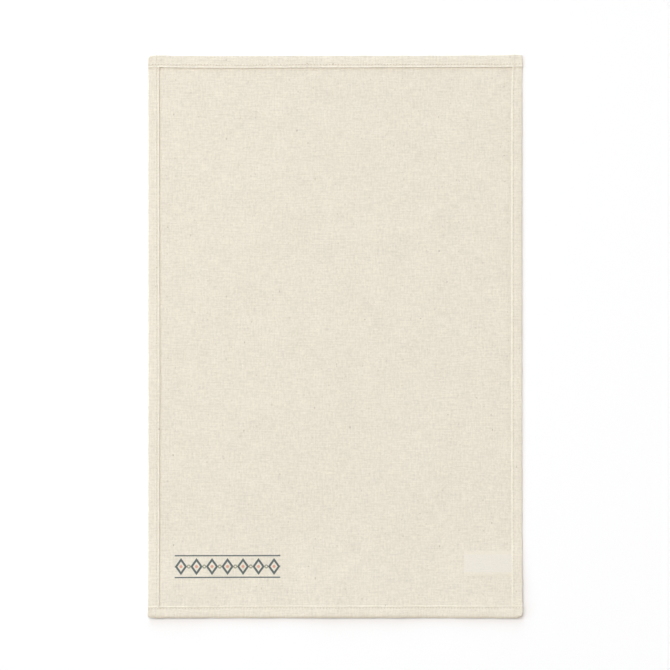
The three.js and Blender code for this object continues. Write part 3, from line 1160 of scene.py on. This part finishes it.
TAPE = (0.818, 0.768, 0.677)
SELVEDGE = (0.826, 0.768, 0.648)
SELVEDGE_EDGE = (5.6 * MM, 4.4 * MM)
GROOVE_OUTSIDE = (1.1 * MM, 1.5 * MM)
GROOVE_INSIDE = (2.1 * MM, 1.7 * MM)
TAPE_GROOVE_SHADE = 0.012
TAPE_RIB = 0.42 * MM
RIB_SHARE = 1.6
STREAK_TONE = 0.12
MOTTLE_TONE = 0.16
TAPE_RELIEF = 0.07 * MM
label_material, tree, shader = finish("label_tape", roughness=0.7, specular=0.3, sheen=0.1)
across, along = map_parts(tree, "tape")
rib_x = calc(tree, "SINE", calc(tree, "MULTIPLY", across, math.pi / TAPE_RIB))
rib_y = calc(tree, "SINE", calc(tree, "MULTIPLY", along, RIB_SHARE * math.pi / TAPE_RIB))
ribs = calc(tree, "ABSOLUTE", calc(tree, "MULTIPLY", rib_x, rib_y))
from_edge = calc(tree, "PINGPONG", along, label_size[1] / 2)
firm = ramp(tree, from_edge, *SELVEDGE_EDGE)
outside = ramp(tree, from_edge, *GROOVE_OUTSIDE)
groove = calc(tree, "MULTIPLY", outside, ramp(tree, from_edge, *GROOVE_INSIDE))
streaks = patches(tree, across, along, 14 * MM, 0.9 * MM, detail=2, seed=5.0)
mottle = patches(tree, across, along, 2 * MM, 2 * MM, detail=2, seed=9.0)
tone = calc(tree, "MULTIPLY_ADD", streaks, STREAK_TONE, 1.0)
tone = calc(tree, "ADD", tone, calc(tree, "MULTIPLY", mottle, MOTTLE_TONE))
# Painted shade: the tape is a little darker in the groove beside each firm edge
tone = calc(tree, "SUBTRACT", tone, calc(tree, "MULTIPLY", groove, TAPE_GROOVE_SHADE))
colour = mixed(tree, firm, TAPE, SELVEDGE)
tree.links.new(scaled(tree, colour, tone), shader.inputs["Base Color"])
relief = bumped(tree, calc(tree, "SUBTRACT", ribs, groove), TAPE_RELIEF)
tree.links.new(relief, shader.inputs["Normal"])
label_data.materials.append(label_material)
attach(label, "root")
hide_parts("label")

# The table: a plain white surface that the towel lies on.
TABLE_SIZE = 12
TABLE_DROP = 0.1 * MM
TABLE_WHITE = (0.936, 0.936, 0.936, 1)
bpy.ops.mesh.primitive_plane_add(size=TABLE_SIZE, location=(0, 0, -TABLE_DROP))
table = bpy.context.object
table.name = "table"
table_material, tree, shader = finish("table_white", roughness=1, specular=0.1)
shader.inputs["Base Color"].default_value = TABLE_WHITE
table.data.materials.append(table_material)

# The camera looks straight down, as far off as the photograph's was. It stands a little to the left
# of the towel's middle, and a little nearer to its top edge.
CAMERA_PLACE = (-0.2 * MM, 1.95 * MM, 2.523)
camera_data = bpy.data.cameras.new("camera")
camera_data.lens = 100
camera_data.sensor_width = 36
camera = placed("camera", camera_data)
camera.location = CAMERA_PLACE
bpy.context.scene.camera = camera

# The light of a studio: warm all round, a broad soft light from high at the top left, cooler ones
# that come in low from the top and the left and draw out the shadows, a weak one from the lower
# right that fills them, and a near one at the top left corner.
WARM = (1.0, 0.927, 0.859)
COOL = (0.56, 0.78, 1.0)
GLOW_STRENGTH = 0.183
NEAR_STRENGTH = 2.3
NEAR_SIZE = 0.8
NEAR_PLACE = (-0.95, 0.6, 1.1)
NEAR_TURN = (math.radians(-28), math.radians(-40), 0)
world = bpy.data.worlds.new("studio")
world.use_nodes = True
tree = world.node_tree
glow = tree.nodes["Background"]
glow.inputs["Color"].default_value = (*WARM, 1)
glow.inputs["Strength"].default_value = GLOW_STRENGTH

# The camera itself sees a white backdrop past the table's far edge
backdrop = tree.nodes.new("ShaderNodeBackground")
backdrop.inputs["Color"].default_value = (1, 1, 1, 1)
seen = tree.nodes.new("ShaderNodeLightPath")
both = tree.nodes.new("ShaderNodeMixShader")
tree.links.new(seen.outputs["Is Camera Ray"], both.inputs["Fac"])
tree.links.new(glow.outputs["Background"], both.inputs[1])
tree.links.new(backdrop.outputs["Background"], both.inputs[2])
tree.links.new(both.outputs["Shader"], tree.nodes["World Output"].inputs["Surface"])
bpy.context.scene.world = world
bpy.context.scene.view_settings.view_transform = "Standard"


def soft_sun(name, colour, strength, softness, azimuth, elevation):
    """A light from far off. azimuth is where it stands, in degrees from the right to the top."""
    data = bpy.data.lights.new(name, "SUN")
    data.color = colour
    data.energy = strength
    data.angle = math.radians(softness)
    sun = placed(name, data)
    sun.rotation_euler = (0, math.radians(90 - elevation), math.radians(azimuth))


soft_sun("high_light", WARM, strength=2.24, softness=64, azimuth=130, elevation=60)
soft_sun("low_top_light", COOL, strength=2.0, softness=26, azimuth=98, elevation=15)
soft_sun("low_left_light", COOL, strength=1.14, softness=20, azimuth=172, elevation=19)
soft_sun("front_light", WARM, strength=0.5, softness=40, azimuth=300, elevation=25)
near_data = bpy.data.lights.new("near_light", "AREA")
near_data.energy = NEAR_STRENGTH
near_data.size = NEAR_SIZE
near_light = placed("near_light", near_data)
near_light.location = NEAR_PLACE
near_light.rotation_euler = NEAR_TURN
